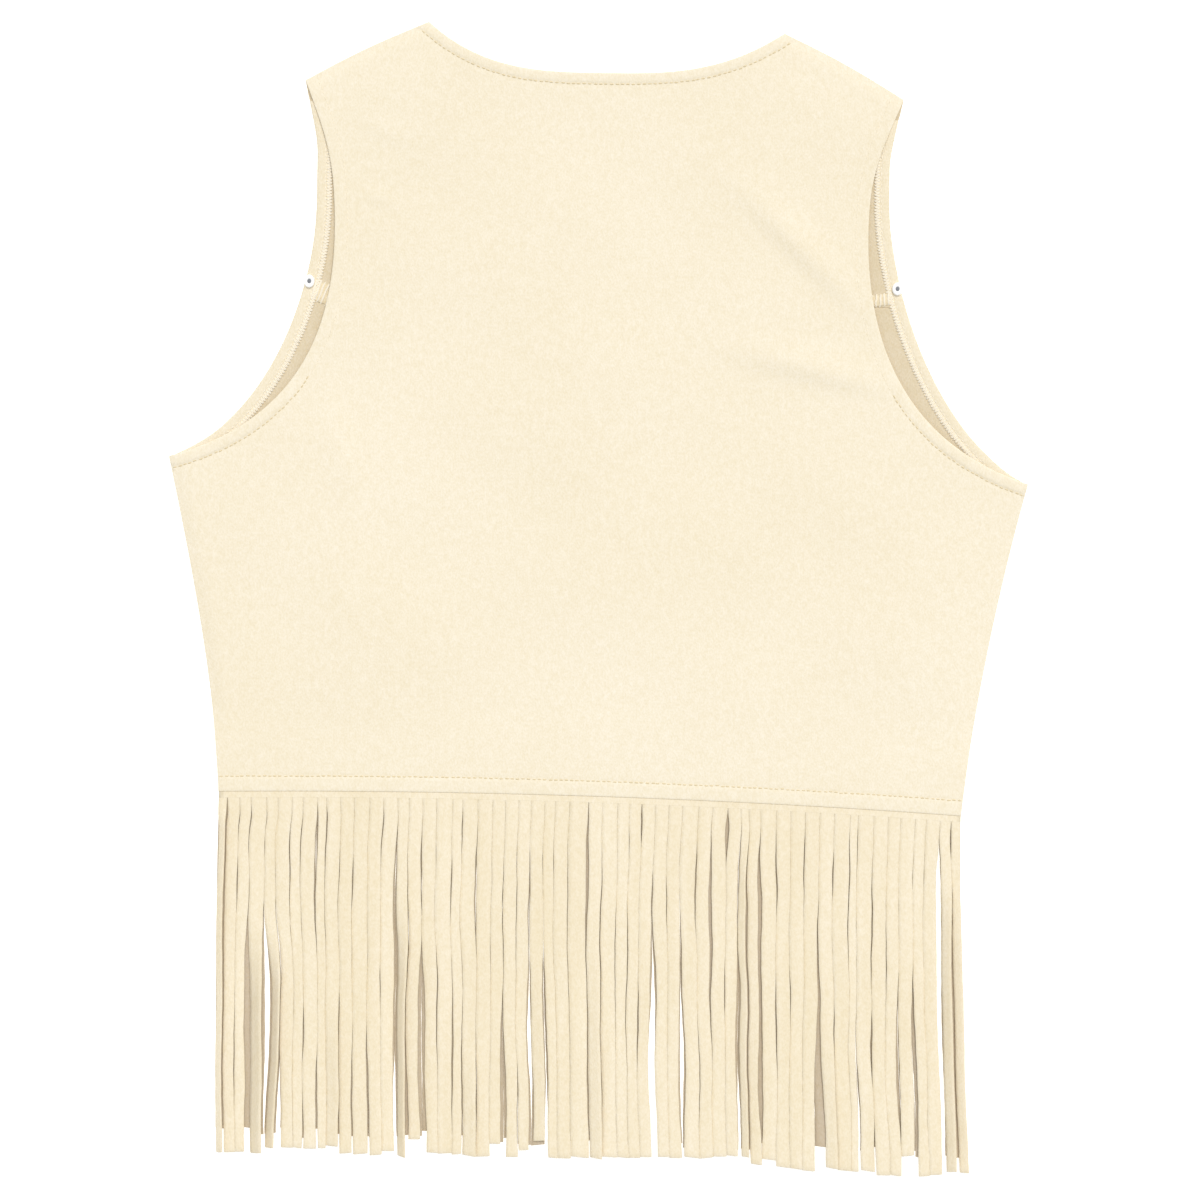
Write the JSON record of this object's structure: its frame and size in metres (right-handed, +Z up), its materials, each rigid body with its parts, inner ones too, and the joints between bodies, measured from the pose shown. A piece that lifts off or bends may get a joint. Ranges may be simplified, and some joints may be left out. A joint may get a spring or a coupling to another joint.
{
  "type": "fringed western vest",
  "caption": "Sleeveless western vest laid flat face down, with a one-piece back, round neckline, turned hems and a long cut fringe along the bottom.",
  "frame": {"origin": "centre of the bounding box at its bottom face, on the surface that the vest lies on", "axes": "+X across the vest to the right of the picture, +Y along the vest from fringe to neck, +Z up from the surface, out of the back"},
  "size_m": [0.481, 0.6364, 0.0057],
  "materials": {
    "cream_suede": "soft napped suede cloth, matt",
    "suede_wrong_side": "plain knitted wrong side, matt",
    "cream_fringe": "cut suede cloth strands, matt",
    "white_bead": "smooth, slightly glossy"
  },
  "bodies": {
    "root": {"back_panel": "cream_suede", "front_left": "cream_suede", "front_right": "cream_suede", "yoke_left": "cream_suede", "yoke_right": "cream_suede", "armhole_hem_left": "suede_wrong_side", "armhole_hem_right": "suede_wrong_side", "yoke_seam_left": "suede_wrong_side", "yoke_seam_right": "suede_wrong_side", "fringe_back": "cream_fringe", "fringe_front_left": "cream_fringe", "fringe_front_right": "cream_fringe", "bead_left": "white_bead", "bead_right": "white_bead"}
  },
  "joints": []
}
